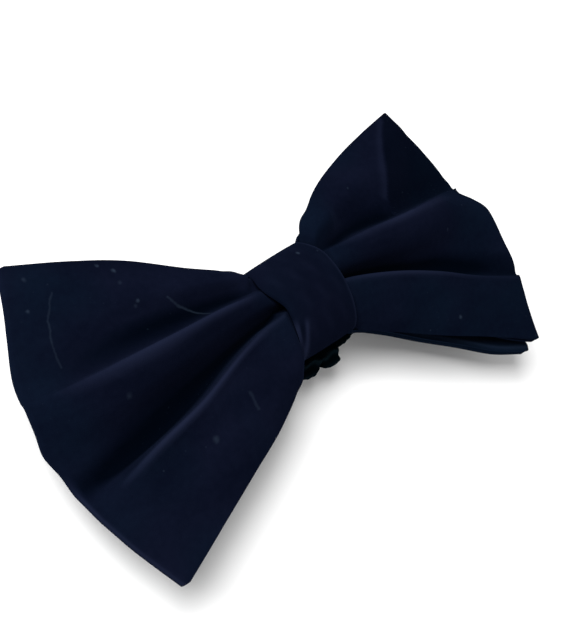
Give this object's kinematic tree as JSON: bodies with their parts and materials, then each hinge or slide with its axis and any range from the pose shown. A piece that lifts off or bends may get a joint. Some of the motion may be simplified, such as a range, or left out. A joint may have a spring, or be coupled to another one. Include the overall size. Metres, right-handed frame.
{
  "type": "hair bow",
  "caption": "Velvet hair bow of two folded loop layers with a soft centre wrap, on a sprung alligator clip lined with ribbon.",
  "frame": {"origin": "middle of the bow on the surface that it lies on, clip down", "axes": "+X along the bow towards the clip's finger tabs, +Y across it, +Z out of the bow's face"},
  "size_m": [0.1599, 0.0819, 0.0312],
  "materials": {
    "velvet": "cut pile, matt with a soft sheen",
    "ribbon": "ribbed ribbon",
    "thread": "twisted",
    "plated_steel": "bright nickel plate",
    "spring_steel": "drawn wire"
  },
  "bodies": {
    "bow": {"front_bow": "velvet", "rear_bow": "velvet", "knot_wrap": "velvet", "gather_thread": "thread", "back_pad": "velvet", "clip_top_jaw": "plated_steel", "clip_lining": "ribbon", "hinge_pin": "plated_steel", "torsion_spring": "spring_steel"},
    "lower_jaw": {"clip_bottom_jaw": "plated_steel"}
  },
  "joints": [
    {"name": "jaw_hinge", "type": "hinge", "parent": "bow", "child": "lower_jaw", "pos_m": [0.009, 0, 0.0056], "axis": [0, -1, 0], "range_deg": [0, 26], "stiffness_Nm_per_rad": 0.05, "springref_deg": -34.38, "deforming": ["torsion_spring"]}
  ]
}
